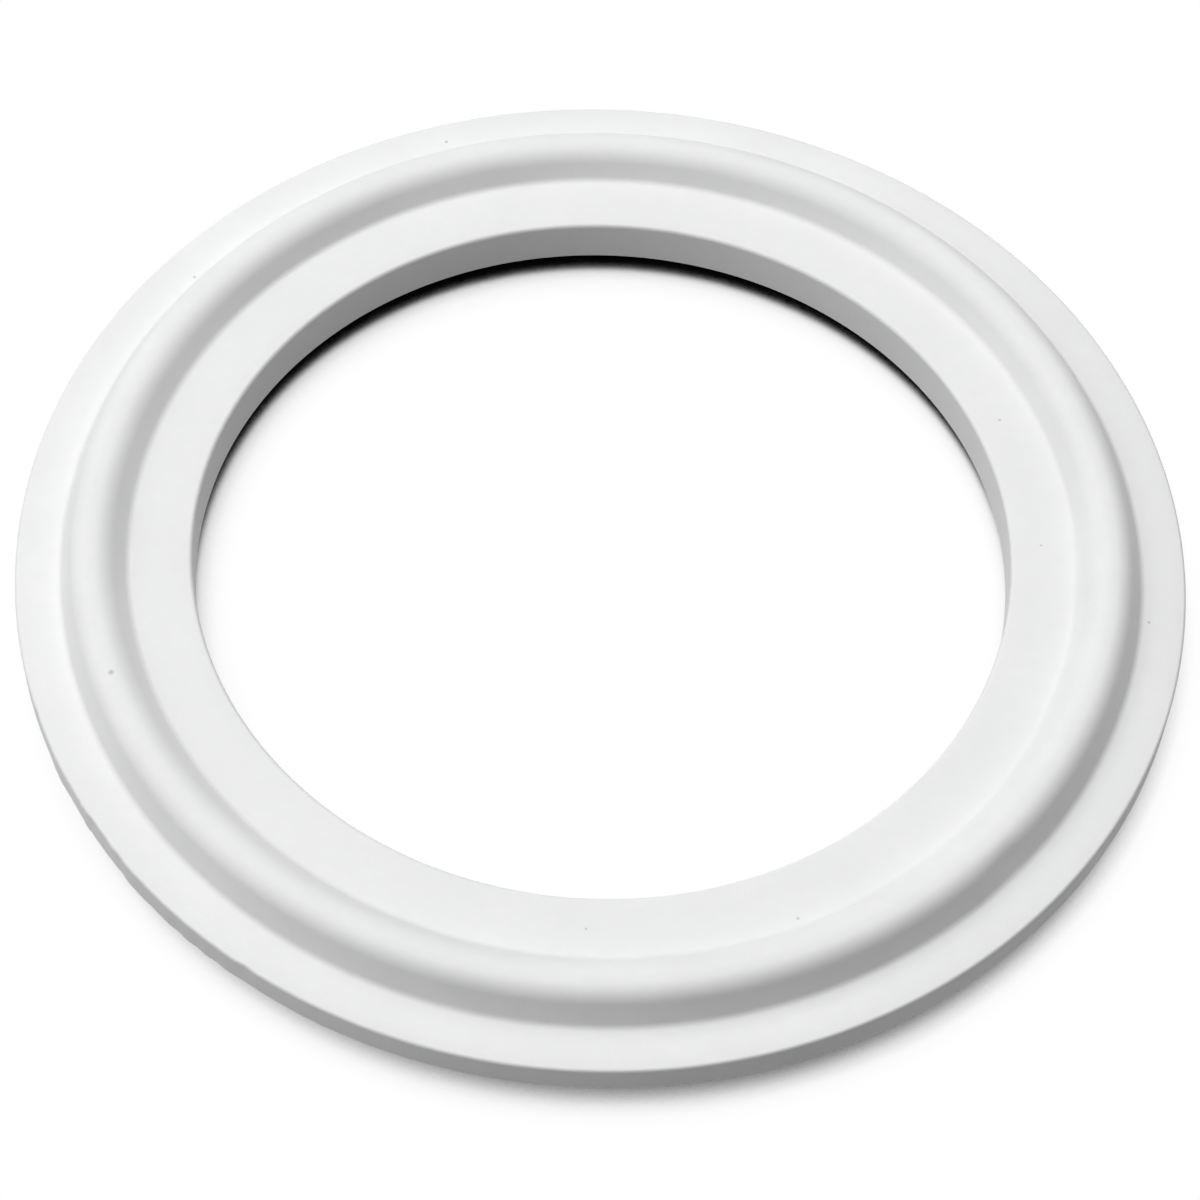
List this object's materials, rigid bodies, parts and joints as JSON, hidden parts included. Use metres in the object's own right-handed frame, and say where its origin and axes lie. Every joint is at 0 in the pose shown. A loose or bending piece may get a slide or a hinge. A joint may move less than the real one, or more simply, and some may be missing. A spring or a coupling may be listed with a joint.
{
  "type": "sanitary clamp gasket",
  "caption": "White moulded ring seal with a full-round bead on both faces, a flat inner land and a thinner outer flange, for clamped hygienic pipe ferrules.",
  "frame": {"origin": "on the ring's axis, level with the crest of the lower bead, which is the ring's lowest point", "axes": "+Z along the ring's axis, through the bore; the ring is round, so X and Y are equal"},
  "size_m": [0.0506, 0.0506, 0.0043],
  "materials": {
    "white_silicone": "matte moulded"
  },
  "bodies": {
    "root": {"gasket_ring": "white_silicone"}
  },
  "joints": []
}
